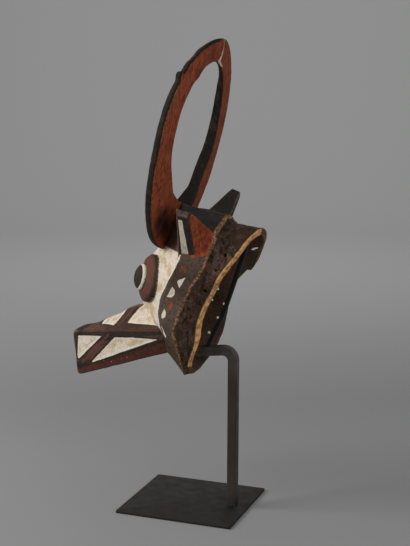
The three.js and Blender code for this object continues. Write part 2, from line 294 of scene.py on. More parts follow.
# The head: rim, rough collar, ridge, cheeks and face
head = {
    "columns": 372, "rimTop": 338, "rimBottom": -15, "wideHalf": 104, "narrowHalf": 78,
    "narrowBelow": 175, "wideAbove": 238, "chinStart": 48, "chinPower": 0.4,
    "sweep": 17, "sweepLow": 55, "sweepHigh": 265, "topBack": 3.5,
    "ridge": [     # height, half width, depth
        (328, 0, -76), (306, 70, -67), (296, 86, -59), (278, 98, -55), (231, 106, -53), (183, 106, -60),
        (125, 104, -61), (75, 99, -57), (53, 92, -43), (22, 80, -23), (-10, 62, -6), (-17, 0, -5)],
    "cheek": [
        (311, 0, -144), (300, 92, -137), (235, 114, -102), (170, 108, -107), (93, 82, -108),
        (64, 77, -92), (51, 80, -71), (17, 60, -62), (15, 0, -65)],
    "crest": [(307, -178), (212, -182), (173, -194), (128, -193), (66, -172), (16, -90)],
    "stepTop": 14, "stepSide": 8, "stepBack": 8, "stepStart": 5, "stepFull": 50,
    "bulge": 11, "bulgeLow": 60, "bulgeHigh": 240,
    "leftIn": 5.5, "leftDips": [(240, 32, 5), (108, 30, 5)],          # height, half width, depth
    "bandShare": 0.2, "bandRows": 8, "bead": 2.0, "beadStart": 0.3,
    "beadTilt": 3.2,     # its inner edge stands proud at the sides
    "lipAt": -28, "lipWide": 18, "lipHigh": 6, "lipAbove": 290,       # the ridge stays high here
    "chipDeep": 8, "chipLow": 120, "chipFull": 205, "chipTop": 226,   # worn off the right rim
    "collarRows": 26, "stepRows": 5, "cheekRows": 26, "faceRows": 34, "linePasses": 8, "rowPasses": 2,
}


def loopAngles(columns):
    # from the top down the left side and up the right: cosine, size of the sine, side
    cosine, sine = turns(columns)
    return cosine, np.abs(sine), np.sign(np.round(sine, 9))


def rimLoop(cosine, side):
    # half width: a side that widens upward, times a round arch above and a blunt chin below
    h = head
    z = between(h["rimBottom"], h["rimTop"], (1 + cosine) / 2)
    width = between(h["narrowHalf"], h["wideHalf"], ramp(z, h["narrowBelow"], h["wideAbove"]))
    above = np.maximum(z - h["wideAbove"], 0) / (h["rimTop"] - h["wideAbove"])
    below = np.maximum(h["chinStart"] - z, 0) / (h["chinStart"] - h["rimBottom"])
    width *= np.sqrt(np.maximum(1 - above ** 2, 0)) * np.maximum(1 - below ** 2, 0) ** h["chinPower"]
    # depth: swept forward in the middle by a squared sine
    t = np.clip((z - h["sweepLow"]) / (h["sweepHigh"] - h["sweepLow"]), 0, 1)
    depth = h["topBack"] * ramp(z, h["wideAbove"], h["rimTop"]) - h["sweep"] * np.sin(np.pi * t) ** 2
    return np.stack([width * side, depth, z], -1)


def lineLoop(rows, cosine, side):
    # half width and depth read off the line at heights that follow the cosine
    rows = np.array(rows, float)[::-1]
    z = between(rows[0, 0], rows[-1, 0], (1 + cosine) / 2)
    width = np.interp(z, rows[:, 0], rows[:, 1]) * side
    return np.stack([width, np.interp(z, rows[:, 0], rows[:, 2]), z], -1)


def makeHead():
    # loops from inside the rim, over it, along the collar, up the ridge, along the cheek, and over
    # the face to the crest, where the last loop is zipped shut
    h = head
    cosine, sine, side = loopAngles(h["columns"])
    rim = rimLoop(cosine, side)
    chip = ramp(rim[:, 2], h["chipLow"], h["chipFull"]) * (rim[:, 2] < h["chipTop"]) * (side < 0)
    dips = sum(deep * bell(rim[:, 2], at, wide) for at, wide, deep in h["leftDips"])
    rim[:, 1] -= h["chipDeep"] * chip + (h["leftIn"] * sine + dips) * (side > 0)
    inner = between(rim, rim.mean(axis=0), h["bandShare"])
    ridge, cheek = [soften(lineLoop(h[key], cosine, side), h["linePasses"], 0) for key in ("ridge", "cheek")]
    ridge[:, 2] += h["lipHigh"] * bell(ridge[:, 0], h["lipAt"], h["lipWide"]) * (ridge[:, 2] > h["lipAbove"])
    collar = ridge.copy()
    step = ramp(-ridge[:, 1], h["stepStart"], h["stepFull"])
    drop = between(h["stepSide"], h["stepTop"], np.maximum(cosine, 0) ** 4)
    collar[:, 0] -= h["stepSide"] * step * sine * side
    collar[:, 2] -= drop * step * cosine
    collar[:, 1] += h["stepBack"] * step
    crest = lineLoop([(z, 0, y) for z, y in h["crest"]], cosine, side)
    crest[:, 1] = soften(crest[:, 1], h["linePasses"], 0)
    counts = [h["bandRows"], h["collarRows"], h["stepRows"], h["cheekRows"], h["faceRows"]]
    grid = fillRows([inner, rim, collar, ridge, cheek, crest], counts)
    t = np.linspace(0, 1, h["faceRows"] + 1)[:, None]
    face = grid[-h["faceRows"] - 1:]
    up = np.clip((face[..., 2] - h["bulgeLow"]) / (h["bulgeHigh"] - h["bulgeLow"]), 0, 1)
    face[..., 1] -= h["bulge"] * np.sin(np.pi * t) * np.sin(np.pi * up)
    band = np.linspace(0, 1, h["bandRows"] + 1)[:, None]
    grid[:h["bandRows"] + 1, :, 1] += h["bead"] * np.sin(np.pi * ramp(band, h["beadStart"], 1))
    grid[:h["bandRows"] + 1, :, 1] += h["beadTilt"] * (1 - band) * sine
    grid[:-1] = soften(grid, h["rowPasses"], 0, circular=False)[:-1]
    passed = np.linalg.norm(np.diff(grid, axis=0), axis=2)
    passed = np.vstack([np.zeros(h["columns"]), np.cumsum(passed, axis=0)])
    rimRow, ridgeRow, cheekRow = [sum(counts[:k]) for k in (1, 3, 4)]
    fields = fieldsFor("head", passed.shape, rim=passed - passed[rimRow],
                       ridge=passed - passed[ridgeRow], cheek=passed - passed[cheekRow])
    return makeBody("mask_finish", grid, fields, zipped=True)


# The hollow: the rim's outline, made smaller as it goes deeper: depth, width, height, middle
hollow = {
    "columns": 240, "rows": [6, 18, 18, 16, 6], "rowPasses": 5,
    "sections": [(60, 0.875, 0.92, 160), (-8, 0.875, 0.92, 160), (-60, 0.83, 0.78, 172),
                 (-105, 0.64, 0.6, 170), (-140, 0.34, 0.36, 162), (-152, 0.1, 0.12, 160)],
}


def makeHollow():
    cosine, _, side = loopAngles(hollow["columns"])
    rim = rimLoop(cosine, side)
    reach = (head["rimTop"] - head["rimBottom"]) / 2
    keys = [np.stack([width * rim[:, 0], depth + 0 * cosine, middle + height * reach * cosine], -1)
            for depth, width, height, middle in hollow["sections"]]
    grid = fillRows(keys, hollow["rows"])
    grid[1:] = soften(grid[1:], hollow["rowPasses"], 0, circular=False)
    return makeTool("hollow", grid)


# The horns: a flat ring between two ovals, leaning forward and curling back near the tips
horns = {
    "outerHalfWidth": 186, "outerHalfHeight": 226, "outerMiddle": 429, "shoulder": 0.156,
    "innerHalfWidth": 123, "innerHalfHeight": 148, "innerMiddle": 456,
    "backAtMiddle": -210, "lean": -0.19, "curl": 14, "dish": 7,
    "thicknessTop": 8, "thicknessBottom": 14, "rightThicker": 9, "rightFrom": 0.5, "frontInset": 7,
    "edgeRadius": 2.6, "steps": 430, "faceSteps": 17, "edgeSteps": 3, "cornerSteps": 2,
    "pinch": 0.14, "pinchFrom": (0.2, 0.7), "tipPinch": 0.27, "tipFrom": 0.8,   # pointed below
    "lumps": [(0.869, 0.032, 12), (0.71, 0.05, 3), (0.47, 0.06, 2)],  # angle, half width, height
    "knotAt": 0.62, "knotWide": 0.11, "knotHigh": 6,
}


def hornBack(z):
    # a straight lean, plus a curl that grows with the fourth power of the height
    over = z - horns["outerMiddle"]
    curl = horns["curl"] * (np.maximum(over, 0) / horns["outerHalfHeight"]) ** 4
    return horns["backAtMiddle"] + horns["lean"] * over + curl


def makeHorns():
    n = horns
    a = 2 * np.pi * np.arange(n["steps"]) / n["steps"]
    c, s = turns(n["steps"])
    up = np.maximum(c, 0)
    swell = sum(high * bell(a, at, wide, 4) for at, wide, high in n["lumps"])
    pinched = n["pinch"] * ramp(-c, *n["pinchFrom"]) + n["tipPinch"] * ramp(-c, n["tipFrom"], 1)
    knot = n["knotHigh"] * bell(a, n["knotAt"], n["knotWide"])
    outerX = (n["outerHalfWidth"] + swell) * s * (1 + n["shoulder"] * up * s ** 2)
    outerZ = n["outerMiddle"] + (n["outerHalfHeight"] + swell) * c
    innerX = (n["innerHalfWidth"] - knot) * s * (1 - pinched)
    innerZ = n["innerMiddle"] + (n["innerHalfHeight"] - knot) * c
    thick = between(n["thicknessBottom"], n["thicknessTop"], (1 + c) / 2)
    outerY, innerY = hornBack(outerZ), hornBack(innerZ) + n["dish"]
    innerThick = thick + n["rightThicker"] * ramp(-s, n["rightFrom"], 1)
    inset = n["frontInset"] * up
    corners = np.stack([
        np.stack([outerX - inset * s, outerY - thick, outerZ - inset], -1),
        np.stack([innerX, innerY - innerThick, innerZ], -1),
        np.stack([innerX, innerY, innerZ], -1),
        np.stack([outerX, outerY, outerZ], -1),
    ], axis=1)
    steps = [n["faceSteps"], n["edgeSteps"]] * 2
    grid, place, inset = roundedLoops(corners, [n["edgeRadius"]] * 4, n["cornerSteps"], steps)
    return makeTool("horns", grid, closed=True, place=place, inset=inset)


# Pale thread in the split between the tips, and its loose end: half width and height on the back
thread = {
    "stretches": [[(-17, 653), (-27, 643), (-31, 630), (-30, 618), (-25, 609), (-20, 605.5)],
                  [(-20, 608), (-33, 601.5), (-47, 596)]],
    "radius": 2.0, "proud": 0.4, "steps": 60, "columns": 8, "passes": 30,
}


def makeThread(stretch):
    # a round section carried along a softened line that lies on the back of the horns
    d, n = thread, horns
    line = np.array(stretch, float)
    t = np.linspace(0, len(line) - 1, d["steps"])
    x, z = [soften(np.interp(t, range(len(line)), line[:, k]), d["passes"], 0, circular=False)
            for k in range(2)]
    top = n["outerMiddle"] + n["outerHalfHeight"]
    share = np.clip((top - z) / (top - n["innerMiddle"] - n["innerHalfHeight"]), 0, 1)
    path = np.stack([x, hornBack(z) + n["dish"] * share + d["proud"], z], -1)
    outward = np.array([0, 1.0, 0])
    across = unit(np.cross(np.gradient(path, axis=0), outward))
    cosine, sine = turns(d["columns"])
    grid = path[:, None] + d["radius"] * (cosine[:, None] * across[:, None] + sine[:, None] * outward)
    return makeTool("thread", grid)


# The muzzle, from its front section to its root, in the frame of the whole object
muzzle = {
    "front": {"y": -263.6, "lowY": -257, "crestZ": 377, "ridgeX": 47, "ridgeZ": 376,
              "lowX": 46, "lowZ": 291, "bottomX": 40, "bottomZ": 273},
    "root": {"y": -20, "lowY": -20, "crestZ": 484, "ridgeX": 73, "ridgeZ": 404,
             "lowX": 69, "lowZ": 382, "bottomX": 51, "bottomZ": 353},
    "length": 250, "radius": 3.5, "frontRadius": 8, "rounded": 26, "crestRadius": 12,
    "crestSag": 3, "dip": 7, "dipAt": 46, "dipWide": 24,    # the crest is worn low near the front
    "hump": 7, "humpAt": 128, "humpWide": 21,               # and rises below the eyes
    "farDrop": 5.5, "farBack": 3.6,                         # the right edge is cut lower at the front
    "farDropLong": 110, "farDropFull": 35,
    "blunt": 8, "bluntRows": [0, 0.25, 0.9, 2, 3.6, 5.6], "rows": 84, "capRings": 12,
    "cornerSteps": 3, "edgeSteps": [18, 28, 6, 26, 6, 28, 18],
}


def muzzleSection(s):
    near = [(s["ridgeX"], s["y"], s["ridgeZ"]), (s["lowX"], s["lowY"], s["lowZ"]),
            (s["bottomX"], s["lowY"], s["bottomZ"])]
    far = [(-x, y, z) for x, y, z in near[::-1]]
    return toMask(np.array([(0, s["y"], s["crestZ"])] + near + far, float))


def makeMuzzle():
    # corners run straight from front to root; each section is rounded and the front end is blunt
    m = muzzle
    distances = np.append(m["bluntRows"], np.linspace(m["blunt"], m["length"], m["rows"]))
    t = distances / m["length"]
    corners = between(muzzleSection(m["front"]), muzzleSection(m["root"]), t[:, None, None])
    dip = m["dip"] * bell(distances, m["dipAt"], m["dipWide"])
    hump = m["hump"] * bell(distances, m["humpAt"], m["humpWide"], 4)
    corners[:, 0, 2] += hump - dip - m["crestSag"] * np.sin(np.pi * t)
    near = ramp(-distances, -m["farDropLong"], -m["farDropFull"])
    corners[:, 6, 1:] += np.stack([m["farBack"] * near, -m["farDrop"] * near], -1)
    radius = between(m["frontRadius"], m["radius"], ramp(distances, 0, m["rounded"]))
    radii = [m["crestRadius"]] + [radius] * 6
    loops = roundedLoops(corners, radii, m["cornerSteps"], m["edgeSteps"])
    grid, place, _ = cutOff(*loops, distances, m)
    return makeTool("muzzle", grid, place=place)


# Eye: a stepped disc with a dome, turned outward and upward by these angles
eye = {
    "x": 40, "y": -84, "z": 504, "outward": 37, "upward": 12, "columns": 84, "steps": 40,
    "profile": [(51, -25), (51, 0), (50.3, 2.6), (47.5, 5.6), (46.5, 6.3), (32.5, 13.2), (30.6, 13.3),
                (29.4, 14.6)],
    "domeRadius": 28.4, "domeFoot": 14, "domeHeight": 17, "domeSteps": 14,
    "start": 24, "buried": 22, "footPlace": 60,     # length left out of the profile, depth in the wood
}


def makeEye(side):
    # the profile turned round the axis: radius out from it, height along it
    e = eye
    out, up = np.radians(e["outward"]), np.radians(e["upward"])
    middle = np.array([e["x"], e["y"], e["z"]], float)
    foot = toMask(middle)
    facing = np.array([np.sin(out) * np.cos(up), -np.cos(out) * np.cos(up), np.sin(up)])
    axis = toMask(middle + facing) - foot
    across = unit(np.cross(axis, [0, 0, 1]))
    over = np.cross(axis, across)
    a = np.linspace(0, np.pi / 2, e["domeSteps"], endpoint=False)
    dome = np.column_stack([e["domeRadius"] * np.cos(a), e["domeFoot"] + e["domeHeight"] * np.sin(a)])
    profile = np.vstack([e["profile"], dome])
    along = np.append(0, np.cumsum(np.linalg.norm(np.diff(profile, axis=0), axis=1)))
    even = np.linspace(e["start"], along[-1], e["steps"])
    radius, height = [np.interp(even, along, profile[:, k]) for k in range(2)]
    cosine, sine = turns(e["columns"])
    ring = np.outer(cosine, across) + np.outer(sine, over)
    start = foot - axis * e["buried"] + ring * e["profile"][0][0]
    grid = foot + ring[None] * radius[:, None, None] + axis * height[:, None, None]
    grid = np.vstack([start[None], grid])
    grid[..., 0] *= side
    return makeTool("eye", grid, place=np.append(e["footPlace"], radius)[:, None])


# Ear: four corners of the cut end and four where it grows out of the head
ear = {
    "tip": [(165, 28, 674), (158, 55, 667), (160, 52, 652), (163, 27, 657)],
    "root": [(90, 5, 641), (72, 74, 616), (100, 42, 563), (104, 8, 562)],
    "buried": 40, "rightLift": 6, "rightForward": 4, "rightRoot": (20, 10), "radius": 3.5, "blunt": 2.5,
    "bluntRows": [0, 0.5, 1.3], "rows": 37, "buriedRows": 4, "capRings": 6,
    "cornerSteps": 2, "edgeSteps": [10, 14, 9, 14],
}


def makeEar(side):
    e = ear
    tip, root = np.array(e["tip"], float), np.array(e["root"], float)
    if side < 0:
        tip[1:3, 1] -= e["rightForward"]
        root[1:3, 1] -= e["rightRoot"]
    inner = root - [e["buried"], 0, 0]
    tip, root, inner = toMask(tip), toMask(root), toMask(inner)
    if side < 0:
        tip[:, 2] += e["rightLift"]
    length = np.linalg.norm(tip.mean(axis=0) - root.mean(axis=0))
    distances = np.append(e["bluntRows"], np.linspace(e["blunt"], length, e["rows"]))
    corners = between(tip, root, (distances / length)[:, None, None])
    t = np.linspace(0, 1, e["buriedRows"] + 1)[1:, None, None]
    corners = np.vstack([corners, between(root, inner, t)])
    distances = np.append(distances, np.full(e["buriedRows"], length))
    loops = roundedLoops(corners, [e["radius"]] * 4, e["cornerSteps"], e["edgeSteps"])
    grid, place, inset = cutOff(*loops, distances, e)
    grid[..., 0] *= side
    fromTip = np.append(np.zeros(e["capRings"]), distances)[:, None]
    return makeTool("ear", grid, place=place, inset=inset, rim=fromTip)


# Holes for the cords of the costume, drilled slantwise, and a worn slot high in the right wall
holes = {
    "radius": 3, "nearRadius": 3.9, "nearLength": 44, "farLength": 84, "columns": 20, "rows": 6,
    "places": [(92, -24, 277), (98, -27, 242), (92, -33, 189), (-76, -49, 150), (-77, -51, 121),
               (-72, -21, 128), (-72, -21, 93), (-70, -25, 53), (-44, -19, 6)],
    "slant": (0.93, 0.22, 0.29), "nearSlant": (0.93, -0.31, 0.05),
    "slotPlace": (-88, -13, 267), "slotHalf": (8, 2.2), "slotTilt": 40,
}


def holeGrid(place, radii, tilt=0):
    # an oval tube round a line through the wall; its long way across is tilted up by some degrees
    h = holes
    direction, length = (h["nearSlant"], h["nearLength"]) if place[0] > 0 else (h["slant"], h["farLength"])
    direction = unit(np.array(direction))
    across = unit(np.cross([0, 0, 1.0], direction))
    over = np.cross(direction, across)
    level, rise = np.cos(np.radians(tilt)), np.sin(np.radians(tilt))
    across, over = level * across + rise * over, level * over - rise * across
    cosine, sine = turns(h["columns"])
    ring = np.outer(cosine * radii[0], across) + np.outer(sine * radii[1], over)
    along = np.linspace(-0.5, 0.5, h["rows"]) * length
    return np.array(place) + ring[None] + along[:, None, None] * direction


def makeHoles():
    h = holes
    grids = [holeGrid(p, [h["nearRadius" if p[0] > 0 else "radius"]] * 2) for p in h["places"]]
    grids.append(holeGrid(h["slotPlace"], h["slotHalf"], h["slotTilt"]))
    return [makeTool("hole", grid) for grid in grids]


def applyBoolean(base, tool, how):
    step = base.modifiers.new("join", "BOOLEAN")
    step.object, step.operation, step.solver = tool, how, "MANIFOLD"
    graph = bpy.context.evaluated_depsgraph_get()
    base.data = bpy.data.meshes.new_from_object(base.evaluated_get(graph))
    base.modifiers.clear()
    bpy.data.objects.remove(tool)


def carveMask():
    base = makeHead()
    for tool in [makeHorns(), makeMuzzle(), makeEye(1), makeEye(-1), makeEar(1), makeEar(-1)]:
        applyBoolean(base, tool, "UNION")
    for stretch in thread["stretches"]:
        applyBoolean(base, makeThread(stretch), "UNION")
    applyBoolean(base, makeHollow(), "DIFFERENCE")
    for tool in makeHoles():
        applyBoolean(base, tool, "DIFFERENCE")
    return base


mask = carveMask()
print("mask joined:", len(mask.data.vertices), "points")


# Reading the joined mesh back as arrays

def readPoints(mesh, name, width):
    values = np.zeros(len(mesh.vertices) * width, np.float32)
    if name == "co":
        mesh.vertices.foreach_get("co", values)
    elif name == "normal":
        mesh.vertex_normals.foreach_get("vector", values)
    else:
        mesh.attributes[name].data.foreach_get("value", values)
    return values.reshape(-1, width).astype(float) if width > 1 else values.astype(float)


def readEdges(mesh):
    edges = np.zeros(len(mesh.edges) * 2, np.int32)
    mesh.edges.foreach_get("vertices", edges)
    edges = edges.reshape(-1, 2)
    return np.concatenate([edges[:, 0], edges[:, 1]]), np.concatenate([edges[:, 1], edges[:, 0]])


seamPasses = 6      # rings of points that a join may leave empty


def fillSeams(fields, ends):
    # points made by a join carry no values: they take those of their neighbour with the highest id
    here, there = ends
    for _ in range(seamPasses):
        empty = fields["part"] < 0.5
        if not empty.any():
            break
        for part in sorted(partIds.values()):
            take = empty[here] & (np.round(fields["part"][there]) == part) & ~empty[there]
            for values in fields.values():
                values[here[take]] = values[there[take]]
    return fields


def neighbourMean(values, ends, count):
    here, there = ends
    weight = np.bincount(here, minlength=count)
    return np.bincount(here, weights=values[there], minlength=count) / np.maximum(weight, 1)


ends = readEdges(mask.data)
points = readPoints(mask.data, "co", 3) / mm
normals = readPoints(mask.data, "normal", 3)
fields = fillSeams({name: readPoints(mask.data, name, 1) for name in fieldNames}, ends)
part = np.round(fields["part"])
isHead, isHollow, isHorns, isMuzzle, isEar, isEye, isHole, isThread = [part == k for k in partIds.values()]


# Distances inside painted shapes, in millimetres, positive inside

def edgeDistance(p, q, starts, stops):
    # distance to the nearest of some straight edges
    best = np.full(len(p), np.inf)
    for (p0, q0), (p1, q1) in zip(starts, stops):
        dp, dq = p1 - p0, q1 - q0
        t = np.clip(((p - p0) * dp + (q - q0) * dq) / (dp * dp + dq * dq), 0, 1)
        best = np.minimum(best, np.hypot(p - p0 - t * dp, q - q0 - t * dq))
    return best


def insidePolygon(p, q, corners):
    # distance to the nearest edge, positive where a ray crosses an odd number of edges
    corners = np.array(corners, float)
    after = np.roll(corners, -1, axis=0)
    crossings = sum(((q0 > q) != (q1 > q)) & (p < p0 + (q - q0) * (p1 - p0) / ((q1 - q0) or 1e-9))
                    for (p0, q0), (p1, q1) in zip(corners, after))
    return np.where(crossings % 2 == 1, 1, -1) * edgeDistance(p, q, corners, after)


def nearLines(p, q, lines, half):
    # half the width minus the distance to the nearest line
    return half - np.minimum.reduce([edgeDistance(p, q, line[:-1], line[1:]) for line in lines])


far = -40.0     # well outside any painted shape


def union(*shapes):
    return np.maximum.reduce(shapes)


def polygons(p, q, shapes):
    return union(*[insidePolygon(p, q, corners) for corners in shapes])


def within(value, low, high):
    # how far a value lies between two others, negative outside
    return np.minimum(value - low, high - value)


def only(where, shape):
    return np.where(where, shape, far)


# Painted pattern, in the mask's frame: depth and height on the sides, half width and depth on top
pattern = {
    "sideWhite": [[(-263, -56), (-211, -27), (-241, -103), (-245, -104)],
                  [(-182, -14), (-144, 8), (-89, 35), (-212, -98)]],
    "sideLines": [[(-256, -40), (-198, -4), (-134, 33), (-96, 54)], [(-198, -16), (-230, -106)]],
    "topWhite": [[(0, -233), (25, -232), (42, -200), (14, -197), (0, -199)],
                 [(0, -164), (13, -170), (45, -172), (52, -142), (57, -120), (62, -102), (66, -84),
                  (0, -50)]],
    "topLines": [[(2, -179), (46, -188)]],
    "cheekWhite": [[(-90, 185), (-76, 202), (-80, 172)],
                   [(-95, 169), (-87, 164), (-84, 155), (-89, 146), (-99, 141)],
                   [(-97, 113), (-89, 107), (-87, 97), (-94, 88), (-98, 93)],
                   [(-92, 72), (-84, 66), (-70, 54), (-74, 51)]],
    "cheekRed": [[(-95, 210), (-93, 220), (-85, 225), (-79, 219), (-79, 209), (-89, 205)],
                 [(-92, 138), (-80, 137), (-80, 117), (-91, 114)]],
    "templeRed": [(-58, 300), (-56, 262), (-80, 244), (-122, 250), (-128, 318), (-80, 312)],
    "templeFrom": 76, "faceTop": (286, 0.43), "faceLow": 57, "frontDark": -258, "edgeShift": (6, 128, 24),
    "crimson": [(-70, 292), (-68, 283), (-68, 268)], "crimsonHalf": 5, "crimsonFrom": 60,
    "bevelSpots": [(-170, -70), (-151, -52), (-140, -42), (-100, -20), (-186, -76)], "spotRadius": 1.3,
    "bevelCrimson": (2.08, 60, 5), "bevelCrimsonFrom": -150,         # share of the bevel, sharpness, width
    "bevelMaroon": (2.05, 2.4), "bevelMaroonStrength": 3, "frontStrength": 4,
    "eyeWhite": (25.1, 28.0), "eyeMaroon": (30.2, 49.4), "lineHalf": 2.4,
    "earStripe": {"top": (0.56, 1.0), "root": (0.22, 0.78), "start": 6, "wide": (26, 34), "long": 105},
    "earRedIn": 1.5, "earRedFrom": (4, 74),                          # left and right, from the cut end
    "hornMargin": {"near": (2, 7), "from": 250, "to": 420, "far": 0.8, "inner": 0.6},
    "farPatch": ([300, 330, 360, 400, 430, 480], [56, 34, 22, 17, 8, 1.5]),   # height, width of black
    "hornSeam": (310, 560), "seamHalf": 1.8, "beadWide": (-14, 3.2), "beadFrom": 14,
    "lipWide": (2.8, 4.8), "lipFrom": (250, 300), "lipAt": -1, "faint": 0.1, "eyeStrength": 2.5,
}


def fromCrest(place):
    # place counted down either side of the muzzle: 0 on the top, 1 side, 2 bevel, 3 underside
    return np.minimum(place, len(muzzle["edgeSteps"]) - place)


def faceTopAt(y):
    level, slope = pattern["faceTop"]
    return level + slope * y


def paintFields():
    # each field is a distance in millimetres, positive inside its paint
    x, y, z = np.abs(points[:, 0]), points[:, 1], points[:, 2]
    k, place, left = pattern, fields["place"], points[:, 0] > 0
    ridge, cheek, rim, inset = fields["ridge"], fields["cheek"], fields["rim"], fields["inset"]
    m = fromCrest(place)
    onFront = isMuzzle & (place > cutEnd - 1)
    onTop, onSide = isMuzzle & ~onFront & (m < 1), isMuzzle & (m >= 1) & (m < 2)
    onBevel = isMuzzle & (m >= 2) & (m < 3)
    onCheek = isHead & (ridge > 0) & (cheek < 0)
    high, at, wide = k["edgeShift"]
    faceEdge = cheek - high * bell(z, at, wide)

    # horns: red faces inside a black margin, broad where the right horn meets the crown
    side = np.floor(place)
    face, share = isHorns & (side % 2 == 0), place - side
    outer = np.where(side == 0, share < 0.5, share > 0.5)
    edge = k["hornMargin"]
    low, more = edge["near"]
    outerMargin = np.where(left, low + more * ramp(z, edge["from"], edge["to"]), edge["far"])
    patch = np.where(left | (side == 0), edge["inner"], np.interp(z, *k["farPatch"]))
    margin = np.where(outer, outerMargin, patch)
    hornRed = only(face, inset - margin)
    seam = within(z, *k["hornSeam"]) > 0
    hornSeam = only(face & outer & left & (side == 2) & seam, k["seamHalf"] - np.abs(inset - margin))

    # ears: a white stripe on the lower face, red on the rear facet
    stripe, fromTip = k["earStripe"], rim
    t = np.clip(fromTip / stripe["long"], 0, 1)
    width = between(*stripe["wide"], t)
    lowShare, highShare = [between(stripe["top"][i], stripe["root"][i], t) for i in (0, 1)]
    earWhite = np.minimum(within(share, lowShare, highShare) * width, fromTip - stripe["start"])
    earRed = np.minimum(inset - k["earRedIn"], fromTip - np.where(left, *k["earRedFrom"]))

    white = union(
        only(onSide, polygons(y, z, k["sideWhite"])),
        only(onTop, polygons(x, y, k["topWhite"])),
        only(onCheek, polygons(y, z, k["cheekWhite"])),
        only(isHead & (cheek > -20), np.minimum(faceEdge, within(z, k["faceLow"], faceTopAt(y)))),
        only(isEar & (side == 2), earWhite),
        only(isEye, within(place, *k["eyeWhite"])),
        only(onBevel, union(*[k["spotRadius"] - np.hypot(y - a, z - b) for a, b in k["bevelSpots"]])),
    )
    red = union(
        hornRed,
        only(onCheek, np.minimum(polygons(y, z, k["cheekRed"]), k["faint"])),
        only(isHead & (ridge > -10), np.minimum(insidePolygon(y, z, k["templeRed"]), x - k["templeFrom"])),
        only(isEar & (side == 1), earRed),
    )
    maroon = union(
        only(onSide, nearLines(y, z, k["sideLines"], k["lineHalf"])),
        only(onTop, nearLines(x, y, k["topLines"], k["lineHalf"])),
        only(isEye, k["eyeStrength"] * within(place, *k["eyeMaroon"])),
        only(onFront, k["frontStrength"]),
        only(onBevel, k["bevelMaroonStrength"] * ramp(m, *k["bevelMaroon"])),
    )
    line, sharp, wide = k["bevelCrimson"]
    crimson = union(
        only(isHead & (x > k["crimsonFrom"]), nearLines(y, z, [k["crimson"]], k["crimsonHalf"])),
        only(onBevel & (y > k["bevelCrimsonFrom"]), wide - np.abs(m - line) * sharp),
    )
    bare = only(isHead & left & (ridge < 0) & (z > k["beadFrom"]),
                np.minimum(within(rim, *k["beadWide"]), z - k["beadFrom"]))
    lipHalf = between(*k["lipWide"], ramp(z, *k["lipFrom"]))
    rub = union(only(isHead & (cheek < 0), lipHalf - np.abs(ridge - k["lipAt"])), hornSeam)
    return {"white": white, "red": red, "maroon": maroon, "crimson": crimson, "bare": bare, "rub": rub}


paint = paintFields()
white = paint["white"]
print("paint laid out")


# Relief cut into the joined mesh: pushed along the normals by these amounts, in millimetres
relief = {
    "waver": (0.8, 34, 3), "ripple": (0.3, 9, 5),                    # depth, size, seed
    "panelDepth": 1.1, "panelEdge": 0.5, "panelEdgeAt": (2.2, 1.2), "panelSlope": (-0.8, 1.2),
    "lumps": [(1.1, 11, 11), (0.66, 5.5, 12)], "scrapes": (1.0, 4.5, 14), "scrapeLong": 0.45,
    "pits": 2.6, "pitCells": (14, 21), "pitSlope": (0.42, 0.12), "pitPatches": (1, 30, 23),
    "pitPatchSlope": (-0.2, 0.5),
    "gouges": 1.3, "gougeCells": (19, 31), "gougeLong": 0.6, "gougeWide": 0.45,
    "faceCrust": (0.45, 4.5, 17), "beadNicks": (0.7, 13, 19), "eyeNicks": (1.1, 8, 27), "eyeRimFrom": 44,
    "beadEdge": 3, "collarFrom": -3, "panelInside": 2, "edgePasses": 2,
}


def pushRelief():
    r, p = relief, points
    ridge, cheek, rim = fields["ridge"], fields["cheek"], fields["rim"]

    def lumpy(key, at=p):
        depth, size, seed = key if isinstance(key, tuple) else r[key]
        return depth * noise(at, size, seed)

    collar = isHead & (ridge < r["collarFrom"]) & (rim > r["beadEdge"])
    panels = isMuzzle | (isHead & (np.minimum(ridge, -cheek) > r["panelInside"]))
    panel = r["panelDepth"] * ramp(white, *r["panelSlope"]) - r["panelEdge"] * bell(white, *r["panelEdgeAt"])
    pits = ramp(cellDistance(p, *r["pitCells"]), *r["pitSlope"])
    pits *= ramp(lumpy("pitPatches"), *r["pitPatchSlope"])
    scrapes = lumpy("scrapes", p * [1, 1, r["scrapeLong"]])
    rough = sum(lumpy(key) for key in r["lumps"]) - r["pits"] * pits + scrapes
    gouges = r["gougeWide"] - cellDistance(p * [1, r["gougeLong"], r["gougeLong"]], *r["gougeCells"])
    amount = lumpy("waver") + lumpy("ripple")
    for where, depth in ((panels, -panel), (collar, rough), (isHollow, r["gouges"] * gouges),
                         (isHead & (cheek > 0), lumpy("faceCrust")),
                         (isHead & (rim <= r["beadEdge"]), lumpy("beadNicks")),
                         (isEye & (fields["place"] > r["eyeRimFrom"]), lumpy("eyeNicks"))):
        amount += np.where(where, depth, 0)
    amount[isHole | isThread] = 0
    return p + normals * amount[:, None]


points = pushRelief()


# How far each point stands out from its neighbours: positive on edges, negative in creases
def edgeField():
    count = len(points)
    mean = np.column_stack([neighbourMean(points[:, k], ends, count) for k in range(3)])
    out = -np.sum((mean - points) * normals, axis=1)
    for _ in range(relief["edgePasses"]):
        out = (out + neighbourMean(out, ends, count)) / 2
    return out


